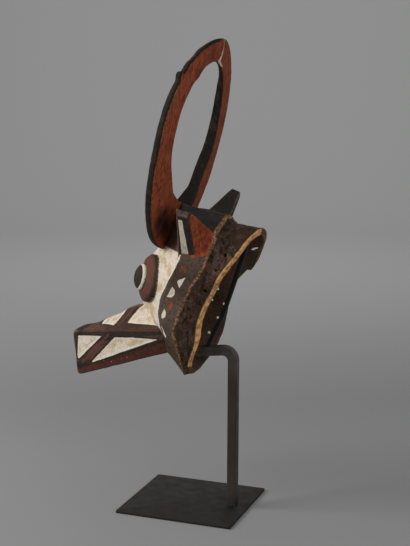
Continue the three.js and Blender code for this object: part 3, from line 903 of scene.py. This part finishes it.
# Colours of the coat under the patterns, as seen on the object in sRGB
coats = {
    "black": (42, 35, 31), "blackInner": (14, 13, 12), "crown": (44, 43, 41), "band": (94, 79, 67),
    "collar": (80, 60, 48), "bore": (20, 15, 12), "outline": (50, 43, 36), "bevel": (92, 60, 46),
    "inside": (88, 68, 54), "border": (100, 72, 58), "borderLow": (54, 49, 41), "borderTop": (84, 61, 50),
    "eyeRing": (80, 68, 55), "dome": (56, 48, 42), "ear": (54, 48, 44), "earCut": (112, 98, 96),
    "earWorn": (116, 86, 62), "chin": (92, 70, 54), "temple": (106, 77, 66), "underside": (62, 44, 34),
    "rim": (140, 102, 70), "insideRim": (92, 70, 54), "farRim": (104, 80, 60),
    "thread": (240, 230, 212), "threadTop": (224, 176, 140),
}
# Dark patches low on the left horn's back, in the hollow between horn and ear: partly dark paint, partly
# painted shade cast by the ear
darkPaintAndShadePatches = [(60, -176, 264, 34), (92, -178, 275, 24), (78, -179, 290, 20)]     # place and reach
faded = {"outline": 3.8, "earWornFrom": 47, "threadTopFrom": 632, "insideRimTo": 10,
         "topDarkFrom": -212, "farDarkTo": -228, "farDarkFrom": -6, "lowBorder": 1.35,
         "bevelBorder": (1.9, 2.3), "templeLow": 6, "crownFrom": 292, "chinTo": 52}


def linear(colour):
    # the sRGB curve undone
    c = np.array(colour, float) / 255
    return np.where(c <= 0.04045, c / 12.92, ((c + 0.055) / 1.055) ** 2.4)


def coatColours():
    f, (x, y, z) = faded, points.T
    ridge, cheek, rim, place = fields["ridge"], fields["cheek"], fields["rim"], fields["place"]
    m, side = fromCrest(place), np.floor(place)
    low, high = f["bevelBorder"]
    colour = np.tile(linear(coats["border"]), (len(points), 1))
    for name, where in (
        ("black", isHorns),
        ("blackInner", isHorns & (side == 1)),
        ("borderLow", isMuzzle & (m > 1) & (m < f["lowBorder"])),
        ("bevel", isMuzzle & (m >= 2) & (m <= 3)),
        ("borderLow", isMuzzle & (m >= low) & (m < high)),
        ("outline", isMuzzle & (m < 2) & (white > -f["outline"])),
        ("underside", isMuzzle & (m > 3) & (m < 4)),
        ("borderTop", isMuzzle & (m < 1) & (y > f["topDarkFrom"])),
        ("outline", isMuzzle & (y < pattern["frontDark"])),
        ("outline", isMuzzle & (m < 1) & (x < f["farDarkFrom"]) & (y < f["farDarkTo"])),
        ("eyeRing", isEye),
        ("dome", isEye & (place < pattern["eyeWhite"][0])),
        ("ear", isEar),
        ("temple", isEar & (side == 3)),
        ("earCut", isEar & (side == cutEnd)),
        ("earWorn", isEar & (side == cutEnd) & (fromMask(points)[:, 1] > f["earWornFrom"])),
        ("band", isHead & (ridge >= 0)),
        ("temple", isHead & (cheek > 0) & (z > faceTopAt(y) - f["templeLow"])),
        ("crown", isHead & (ridge >= -2) & (z > f["crownFrom"])),
        ("chin", isHead & (ridge >= 0) & (z < f["chinTo"])),
        ("collar", isHead & (ridge < 0)),
        ("rim", isHead & (rim < 0)),
        ("farRim", isHead & (rim < 0) & ((x < 0) | (z < pattern["beadFrom"]))),
        ("inside", isHollow),
        ("bore", isHole),
        ("insideRim", isHollow & (y > -f["insideRimTo"])),
        ("thread", isThread),
        ("threadTop", isThread & (z > f["threadTopFrom"])),
    ):
        colour[where] = linear(coats[name])
    return colour


def darkPaintAndShadeField():
    # the greatest of round patches that fade as a bell curve, on the horns only: partly dark paint, partly
    # painted shade
    near = [np.exp(-np.sum((points - place) ** 2, axis=1) / reach ** 2) for *place, reach in darkPaintAndShadePatches]
    return np.maximum.reduce(near) * isHorns


# Where the crust fades in from the ridge and the rim, how worn the horns' edges are, and the limits
written = {"crustRidge": (1, 5), "crustRim": (2, 8), "hornWear": 0.3, "limit": 12, "sharp": 42}


def writeBack(mesh):
    coat = coatColours()
    mesh.vertices.foreach_set("co", (fromMask(points) * mm).ravel())
    for name in fieldNames:
        mesh.attributes.remove(mesh.attributes[name])
    w = written
    collar = ramp(-fields["ridge"], *w["crustRidge"]) * ramp(fields["rim"], *w["crustRim"])
    worn = edgeField() * np.where(isHorns | isThread, w["hornWear"], 1)
    made = dict(paint, edge=worn, crust=np.where(isHead, collar, 0), sootAndShade=darkPaintAndShadeField())
    for name, values in made.items():
        limit = np.clip(values, -w["limit"], w["limit"]).astype(np.float32)
        mesh.attributes.new(name, "FLOAT", "POINT").data.foreach_set("value", limit)
    rgba = np.column_stack([coat, np.ones(len(coat))]).astype(np.float32)
    mesh.attributes.new("coat", "FLOAT_COLOR", "POINT").data.foreach_set("color", rgba.ravel())
    mesh.shade_smooth()
    mesh.set_sharp_from_angle(angle=np.radians(w["sharp"]))
    mesh.update()


writeBack(mask.data)
print("mask relief cut:", sum(len(p.vertices) - 2 for p in mask.data.polygons), "triangles")


def tint(colour):
    return (*linear(colour), 1.0)


# A short way to write a material's nodes

class Nodes:
    def __init__(self, name):
        self.material = bpy.data.materials.new(name)
        self.material.use_nodes = True
        self.tree = self.material.node_tree
        self.tree.nodes.clear()
        self.place = self.add("ShaderNodeTexCoord").outputs["Object"]

    def add(self, kind, **settings):
        node = self.tree.nodes.new(kind)
        for key, value in settings.items():
            setattr(node, key, value)
        return node

    def put(self, socket, value):
        if isinstance(value, bpy.types.NodeSocket):
            self.tree.links.new(value, socket)
        else:
            socket.default_value = value

    def value(self, name):
        return self.add("ShaderNodeAttribute", attribute_name=name).outputs["Fac"]

    def colour(self, name):
        return self.add("ShaderNodeAttribute", attribute_name=name).outputs["Color"]

    def noise(self, scale, detail=3, rough=0.55, stretch=None, shift=0.0):
        place = self.place
        if stretch or shift:
            mapping = self.add("ShaderNodeMapping")
            self.put(mapping.inputs["Vector"], place)
            mapping.inputs["Scale"].default_value = stretch or (1, 1, 1)
            mapping.inputs["Location"].default_value = (shift, shift, shift)
            place = mapping.outputs["Vector"]
        node = self.add("ShaderNodeTexNoise")
        self.put(node.inputs["Vector"], place)
        node.inputs["Scale"].default_value = scale
        node.inputs["Detail"].default_value = detail
        node.inputs["Roughness"].default_value = rough
        return node.outputs["Fac"]

    def maths(self, operation, a, b=0.0, c=0.0):
        node = self.add("ShaderNodeMath", operation=operation)
        for socket, value in zip(node.inputs, (a, b, c)):
            self.put(socket, value)
        return node.outputs[0]

    def span(self, value, low, high, outLow=0.0, outHigh=1.0):
        # value from low to high becomes outLow to outHigh, smoothly and kept within them
        node = self.add("ShaderNodeMapRange", interpolation_type="SMOOTHSTEP")
        for key, entry in (("Value", value), ("From Min", low), ("From Max", high),
                           ("To Min", outLow), ("To Max", outHigh)):
            self.put(node.inputs[key], entry)
        return node.outputs["Result"]

    def blend(self, share, a, b):
        node = self.add("ShaderNodeMix", data_type="RGBA")
        self.put(node.inputs[0], share)
        self.put(node.inputs[6], a)
        self.put(node.inputs[7], b)
        return node.outputs[2]

    def finish(self, colour, roughness, height=None, bump=0.4, depth=0.001, **fixed):
        shader = self.add("ShaderNodeBsdfPrincipled")
        self.put(shader.inputs["Base Color"], colour)
        self.put(shader.inputs["Roughness"], roughness)
        for key, value in fixed.items():
            shader.inputs[key.replace("_", " ")].default_value = value
        if height is not None:
            node = self.add("ShaderNodeBump")
            node.inputs["Strength"].default_value = bump
            node.inputs["Distance"].default_value = depth
            self.put(node.inputs["Height"], height)
            self.put(shader.inputs["Normal"], node.outputs["Normal"])
        output = self.add("ShaderNodeOutputMaterial")
        self.put(output.inputs["Surface"], shader.outputs["BSDF"])
        return self.material


# Earth pigments on carved wood: each coat ends at a distance of zero, with a wavering worn edge
pigments = {
    "white": (232, 218, 199), "whiteStain": (200, 172, 132), "whiteWorn": (134, 112, 92),
    "whiteGrain": (186, 168, 146), "whiteFresh": (246, 236, 222),
    "red": (162, 82, 50), "redDark": (108, 48, 32), "redWarm": (166, 88, 54),
    "maroon": (106, 62, 51), "crimson": (124, 44, 42),
    "bareWood": (238, 182, 118), "bareDark": (178, 128, 84), "sootAndShade": (30, 26, 23),
    "crustLight": (126, 98, 78), "crustRed": (98, 56, 38), "crustGrey": (94, 80, 72), "pit": (24, 19, 16),
    "rubWood": (176, 134, 98), "rubDark": (100, 70, 50), "nick": (70, 50, 36),
}


# Noises that the paint is broken up by: scale, detail, roughness, and where given stretch and shift
grains = {
    "broad": (16, 3, 0.55), "patch": (38, 3, 0.55, None, 0.7), "middle": (90, 4, 0.6),
    "small": (190, 3, 0.6, None, 1.9), "fine": (430, 4, 0.65), "speck": (900, 2, 0.6),
    "grain": (210, 4, 0.62, (1, 1, 0.16)), "streak": (120, 3, 0.6, (1, 1, 0.3), 3.1),
    "grit": (330, 5, 0.8, None, 5.3), "lump": (230, 5, 0.7),
}

# Layers laid one over the last: the noise, its two values, the layer's share at each, and its colour
layers = {
    "smoke": [("broad", 0.38, 0.66, 0.0, 0.45, "sootAndShade"), ("small", 0.5, 0.64, 0.0, 0.5, "sootAndShade"),
              ("streak", 0.6, 0.74, 0.0, 0.18, "crustLight"), ("speck", 0.6, 0.7, 0.0, 0.2, "crustLight"),
              ("patch", 0.52, 0.66, 0.0, 0.14, "rubDark")],
    "red": [("grain", 0.4, 0.66, 0.0, 1.0, "redDark"), ("patch", 0.52, 0.66, 0.0, 0.6, "redWarm"),
            ("broad", 0.48, 0.68, 0.0, 0.6, "redDark"), ("small", 0.58, 0.7, 0.0, 0.5, "sootAndShade")],
    "whiteEdge": [("small", 0.5, 0.62, 0.0, 0.55, "whiteFresh")],
    "whiteInside": [("patch", 0.48, 0.62, 0.0, 0.8, "whiteStain"),
                    ("grit", 0.48, 0.62, 0.0, 0.55, "whiteGrain")],
    "whiteWear": [("fine", 0.56, 0.66, 0.0, 0.6, "whiteWorn"), ("speck", 0.6, 0.7, 0.0, 0.55, "whiteWorn")],
    "crustTone": [("broad", 0.4, 0.6, 0.0, 1.0, "crustRed")],
    "crust": [("middle", 0.53, 0.64, 0.0, 0.6, "crustTone"), ("patch", 0.53, 0.64, 0.0, 0.5, "crustGrey"),
              ("streak", 0.52, 0.62, 0.0, 0.75, "pit"), ("small", 0.36, 0.44, 0.85, 0.0, "pit"),
              ("speck", 0.62, 0.7, 0.0, 0.45, "crustLight")],
    "bare": [("middle", 0.42, 0.6, 0.0, 1.0, "bareDark"), ("small", 0.6, 0.68, 0.0, 0.75, "nick")],
    "rub": [("small", 0.42, 0.58, 0.0, 1.0, "rubDark")],
}

# Coats laid where their distance is positive: softness of the edge, then the noise that wears them
wear = {
    "red": (0.8, "fine", 0.22, 0.36, 0.45, 1.0), "crimson": (1.6, "small", 0.4, 0.58, 0.0, 0.75),
    "maroon": (1.2, "middle", 0.36, 0.56, 0.35, 0.95), "white": (0.45, "chips", 0.26, 0.33, 0.0, 1.0),
    "bare": (0.9, "fine", 0.28, 0.4, 0.5, 1.0), "rub": (2.4, "middle", 0.36, 0.52, 0.25, 0.95),
}
surface = {"waver": (2.4, 2.0), "whiteInside": (1.0, 7.0), "chipEdges": -0.2, "edgeWaver": 0.5,
           "edgeRub": (0.2, 0.6, 0.0, 0.4), "creaseDarkening": (0.1, 0.55, 0.0, 0.75),
           "roughness": (0.3, 0.7, 0.62, 0.86), "bump": 0.6, "depth": 0.0014, "gloss": 0.14,
           "fineHigh": 0.7, "middleHigh": 0.5, "crustHigh": 1.8, "whiteHigh": 0.35, "grainHigh": 0.3}


def paintedWood():
    n, f = Nodes("painted_wood"), surface
    t = {name: tint(colour) for name, colour in pigments.items()}
    grain = {name: n.noise(*given) for name, given in grains.items()}
    edge, crust = n.value("edge"), n.value("crust")
    grain["chips"] = n.maths("ADD", grain["fine"], n.maths("MULTIPLY", edge, f["chipEdges"]))
    waver = n.maths("ADD", *[n.maths("MULTIPLY_ADD", grain[name], high, -high / 2)
                             for name, high in zip(("middle", "fine"), f["waver"])])

    def layered(colour, name, share=None):
        for source, *levels, over in layers[name]:
            cover = n.span(grain[source], *levels)
            colour = n.blend(n.maths("MULTIPLY", share, cover) if share else cover, colour, t[over])
        return colour

    def coated(colour, name, tone):
        soft, source, *levels = wear[name]
        share = n.span(n.maths("ADD", n.value(name), waver), -soft, soft)
        return n.blend(n.maths("MULTIPLY", share, n.span(grain[source], *levels)), colour, tone)

    # base coat, dulled by smoke and lightened along the grain
    colour = layered(n.colour("coat"), "smoke")

    # red earth, rubbed warm in places and dark in others
    colour = coated(colour, "red", layered(t["red"], "red"))
    colour = coated(colour, "crimson", t["crimson"])
    colour = coated(colour, "maroon", t["maroon"])
    # dark patches low on the left horn between horn and ear: partly dark paint, partly painted shade
    colour = n.blend(n.value("sootAndShade"), colour, t["sootAndShade"])

    # white clay: thick and bright along its edges, stained and grainy inside
    inside = n.span(n.value("white"), *f["whiteInside"])
    clay = layered(layered(t["white"], "whiteEdge"), "whiteInside", inside)
    colour = coated(colour, "white", layered(clay, "whiteWear"))

    # rough collar: light and dark crust, pits and grey scale
    t["crustTone"] = layered(t["crustLight"], "crustTone")
    colour = layered(colour, "crust", crust)

    # bare wood on the rim, worn lips and edges, and darker in the creases
    colour = coated(colour, "bare", layered(t["bareWood"], "bare"))
    colour = coated(colour, "rub", layered(t["rubWood"], "rub"))
    worn = n.maths("ADD", edge, n.maths("MULTIPLY_ADD", grain["middle"], f["edgeWaver"], -f["edgeWaver"] / 2))
    colour = n.blend(n.span(worn, *f["edgeRub"]), colour, t["rubWood"])
    colour = n.blend(n.span(n.maths("MULTIPLY", edge, -1.0), *f["creaseDarkening"]), colour, t["sootAndShade"])

    # height: a sum of the noises, the crust and the thickness of the clay
    height = n.maths("MULTIPLY", grain["fine"], f["fineHigh"])
    for part, high in ((grain["middle"], f["middleHigh"]),
                       (n.maths("MULTIPLY", crust, grain["lump"]), f["crustHigh"]),
                       (n.span(n.value("white"), -0.5, 0.5), f["whiteHigh"]),
                       (grain["grain"], f["grainHigh"])):
        height = n.maths("MULTIPLY_ADD", part, high, height)
    return n.finish(colour, n.span(grain["middle"], *f["roughness"]), height, bump=f["bump"],
                    depth=f["depth"], Specular_IOR_Level=f["gloss"])


mask.data.materials.clear()
mask.data.materials.append(paintedWood())
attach(mask, "root")
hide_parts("mask")
print("mask painted")


# The stand: base plate, bent bar and brace, each with its long edges rounded as on rolled steel
stand = {
    "plateRound": (2.0, 4, 24), "barRound": (1.7, 4, 5), "braceRound": (1.1, 3, 3),   # radius, steps
    "plateEdge": 1.0, "edgeShare": 0.3, "sharp": 50,
    "bendRadius": 22, "droop": 7.5, "bendSteps": 28, "postSteps": 40, "armSteps": 14, "armFrom": 4,
    # heights over which the painted highlight at the bend comes in
    "endRows": [0, 0.3, 1.0, 2.0], "bendHighlightFrom": (265, 345),
    "braceFoot": 35, "braceTop": (130.5, 608), "braceSteps": 60, "gap": 0.3,
    "kneeShare": 0.3, "kneeOut": 7.5, "kneeSoft": 12,
}
squareCorners = ((1, 1), (-1, 1), (-1, -1), (1, -1))


def nodeBox(name):
    return [np.array(corner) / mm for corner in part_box(name)]


def standPiece(name, grid, rubbedAndHighlight):
    piece = makeBody(name, grid, {"rubbedAndHighlight": np.broadcast_to(rubbedAndHighlight, grid.shape[:2])})
    piece.data.shade_smooth()
    piece.data.set_sharp_from_angle(angle=np.radians(stand["sharp"]))
    return piece


def steelLoops(corners, rounding):
    radius, cornerSteps, sideSteps = stand[rounding]
    return roundedLoops(corners, [radius] * 4, cornerSteps, [sideSteps] * 4)[0]


def makePlate():
    # a rectangle with rounded corners, drawn in a little at its upper and lower edges
    low, high = nodeBox("stand_base_plate")
    e, part = stand["plateEdge"], stand["edgeShare"] * stand["plateEdge"]
    levels = [(low[2], e), (low[2] + part, part), (low[2] + e, 0),
              (high[2] - e, 0), (high[2] - part, part), (high[2], e)]
    corners = np.array([[(low[0] + i, low[1] + i, z), (high[0] - i, low[1] + i, z),
                         (high[0] - i, high[1] - i, z), (low[0] + i, high[1] - i, z)] for z, i in levels])
    return standPiece("stand_base_plate_finish", steelLoops(corners, "plateRound"), 0.0)


def bendFrame():
    # middle of the bend in the side view, half the bar's size, and the arm's droop
    low, high = nodeBox("stand_bent_bar")
    half = (high[0] - low[0]) / 2
    return high[1] - half - stand["bendRadius"], high[2] - half - stand["bendRadius"], half


def makeBar():
    # a square section carried along the drooping arm, round the bend and down the post
    s = stand
    low, high = nodeBox("stand_bent_bar")
    middleY, middleZ, half = bendFrame()
    droop = np.radians(s["droop"])
    start = np.array([np.cos(np.pi / 2 + droop), np.sin(np.pi / 2 + droop)])
    backward = np.array([np.cos(droop), np.sin(droop)])
    armJoint = np.array([middleY, middleZ]) + s["bendRadius"] * start
    reach = (armJoint[0] + half * start[0] - low[1]) / backward[0]
    passed = np.append(s["endRows"], np.linspace(s["armFrom"], reach, s["armSteps"]))
    arm = armJoint + (passed - reach)[:, None] * backward
    turn = np.linspace(np.pi / 2 + droop, 0, s["bendSteps"])[1:]
    bendOut = np.column_stack([np.cos(turn), np.sin(turn)])
    bend = np.array([middleY, middleZ]) + s["bendRadius"] * bendOut
    fall = np.linspace(middleZ, low[2], s["postSteps"])[1:]
    post = np.column_stack([np.full(len(fall), middleY + s["bendRadius"]), fall])
    path = np.vstack([arm, bend, post])
    out = np.vstack([np.tile(start, (len(arm), 1)), bendOut, np.tile([1.0, 0.0], (len(post), 1))])
    corners = np.stack([np.column_stack([np.full(len(path), x * half), path + side * half * out])
                        for x, side in squareCorners], axis=1)
    distances = np.append(passed, np.full(len(path) - len(passed), reach))
    grid = bluntEnd(steelLoops(corners, "barRound"), distances, s["endRows"][-1])
    # the painted highlight: lighter towards the bend
    return standPiece("stand_bent_bar_finish", grid, ramp(grid[..., 2], *s["bendHighlightFrom"]))


def makeBrace():
    # a square bar with a slight knee, cut at its foot along the arm's top face
    s = stand
    low, high = nodeBox("stand_inner_brace")
    middleY, middleZ, barHalf = bendFrame()
    half, droop = (high[0] - low[0]) / 2, np.radians(s["droop"])
    reach = s["bendRadius"] + barHalf

    def aboveArm(y):
        armY, armZ = middleY - reach * np.sin(droop), middleZ + reach * np.cos(droop)
        return armZ - (armY - y) * np.tan(droop) + s["gap"]

    topY, topZ = s["braceTop"]
    along = unit(np.array([topY - s["braceFoot"], topZ - aboveArm(s["braceFoot"])]))
    feet, tops = [], []
    for x, side in squareCorners:
        y = s["braceFoot"] + side * half / along[1]
        feet.append((x * half, y, aboveArm(y)))
        tops.append((x * half, topY + side * half * along[1], topZ - side * half * along[0]))
    t = np.linspace(0, 1, s["braceSteps"])
    corners = between(np.array([feet]), np.array([tops]), t[:, None, None])
    knee = s["kneeOut"] * np.minimum(t / s["kneeShare"], (1 - t) / (1 - s["kneeShare"]))
    corners[..., 1] += soften(knee, s["kneeSoft"], 0, circular=False)[:, None]
    return standPiece("stand_inner_brace_finish", steelLoops(corners, "braceRound"), 0.0)


# The stand's steel: dark brown satin paint, lightened at the bend by a painted highlight, and a black brace
steel = {
    # the lighter steel serves both worn marks and the painted highlight at the bend
    "plate": (32, 27, 24), "paint": (50, 44, 40), "rubbedAndHighlight": (90, 86, 82), "roughness": (0.34, 0.5),
    "black": (20, 19, 19), "blackRubbed": (40, 38, 36), "blackRoughness": (0.5, 0.7),
    "marks": [((9, 3), (0.45, 0.75, 0.0, 0.25)), ((600, 3, 0.6), (0.6, 0.75, 0.0, 0.2))],  # noise, levels
    "bendHighlight": ((30, 3), (0.3, 0.6, 0.15, 0.75)), "sheen": ((40, 4), (0.3, 0.7)),
    "bump": 0.12, "depth": 0.0004, "gloss": 0.3,
}


def standSteel(name, paintColour, rubbedAndHighlightColour, rough):
    n, t = Nodes(name), steel
    colour, rubbedAndHighlightTint = tint(paintColour), tint(rubbedAndHighlightColour)
    for size, levels in t["marks"]:
        height = n.noise(*size)
        colour = n.blend(n.span(height, *levels), colour, rubbedAndHighlightTint)
    # painted highlight at the bend, broken up by noise
    size, levels = t["bendHighlight"]
    paintedHighlight = n.maths("MULTIPLY", n.value("rubbedAndHighlight"), n.span(n.noise(*size), *levels))
    colour = n.blend(paintedHighlight, colour, rubbedAndHighlightTint)
    size, levels = t["sheen"]
    roughness = n.span(n.noise(*size), *levels, *rough)
    return n.finish(colour, roughness, height, bump=t["bump"], depth=t["depth"],
                    Specular_IOR_Level=t["gloss"])


plateSteel = standSteel("plate_steel", steel["plate"], steel["paint"], steel["blackRoughness"])
brownSteel = standSteel("stand_steel", steel["paint"], steel["rubbedAndHighlight"], steel["roughness"])
blackSteel = standSteel("brace_steel", steel["black"], steel["blackRubbed"], steel["blackRoughness"])
for make, node, material in ((makePlate, "stand_base_plate", plateSteel),
                             (makeBar, "stand_bent_bar", brownSteel),
                             (makeBrace, "stand_inner_brace", blackSteel)):
    piece = make()
    piece.data.materials.append(material)
    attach(piece, "root")
    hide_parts(node)
print("stand made")


# Floor and backdrop in one round dish that stands all round the object, and soft lights
studio = {
    "radius": 4.0, "curve": 2.2, "high": 0.5, "start": 0.001, "rows": 60, "columns": 96,
    "tone": (146, 146, 146), "roughness": 0.9, "world": 0.4,
    "lights": [     # place, aimed at, size, watts
        ((1.3, -2.3, 1.6), (0, 0, 0.6), 1.6, 58),
        ((2.2, 2.2, 1.5), (0, 0, 0.6), 2.0, 28),
        ((0, 0.1, 3.0), (0, 0, 0.6), 2.0, 2),
        ((-1.8, -0.6, 3.4), (-5.2, -1.9, 2.2), 1.2, 112),
    ],
}


def makeBackdrop():
    # a profile turned round the upright axis: flat floor, a quarter circle, then a straight wall
    s = studio
    quarter = np.pi / 2 * s["curve"]
    along = np.linspace(s["start"], s["radius"] + quarter + s["high"], s["rows"])
    bend = np.clip((along - s["radius"]) / s["curve"], 0, np.pi / 2)
    out = np.minimum(along, s["radius"]) + s["curve"] * np.sin(bend)
    up = s["curve"] * (1 - np.cos(bend)) + np.maximum(along - s["radius"] - quarter, 0)
    cosine, sine = turns(s["columns"])
    grid = np.stack([np.outer(out, cosine), np.outer(out, sine), np.tile(up[:, None], s["columns"])], -1)
    index = np.arange(grid.shape[0] * grid.shape[1]).reshape(grid.shape[:2])
    after = np.roll(index, -1, axis=1)
    quads = np.stack([index[:-1], index[1:], after[1:], after[:-1]], -1).reshape(-1, 4)
    mesh = bpy.data.meshes.new("backdrop")
    mesh.from_pydata(grid.reshape(-1, 3).tolist(), [], quads.tolist())
    mesh.shade_smooth()
    mesh.materials.append(Nodes("backdrop_paper").finish(tint(s["tone"]), s["roughness"]))
    backdrop = addObject("backdrop", mesh)


def makeLights():
    for k, (place, aim, size, watts) in enumerate(studio["lights"]):
        light = addObject(f"softbox{k}", bpy.data.lights.new(f"softbox{k}", "AREA"))
        light.data.size, light.data.energy = size, watts
        away = unit(np.array(place, float) - np.array(aim, float))
        right = unit(np.cross([0, 0, 1.0], away))
        light.matrix_world = standing(place, right, np.cross(away, right), away)
    world = bpy.data.worlds.new("studio")
    world.use_nodes = True
    sky = world.node_tree.nodes["Background"]
    sky.inputs["Color"].default_value = (1, 1, 1, 1)
    sky.inputs["Strength"].default_value = studio["world"]
    bpy.context.scene.world = world


makeBackdrop()
makeLights()
bpy.context.scene.view_settings.view_transform = "Standard"
print("studio set")
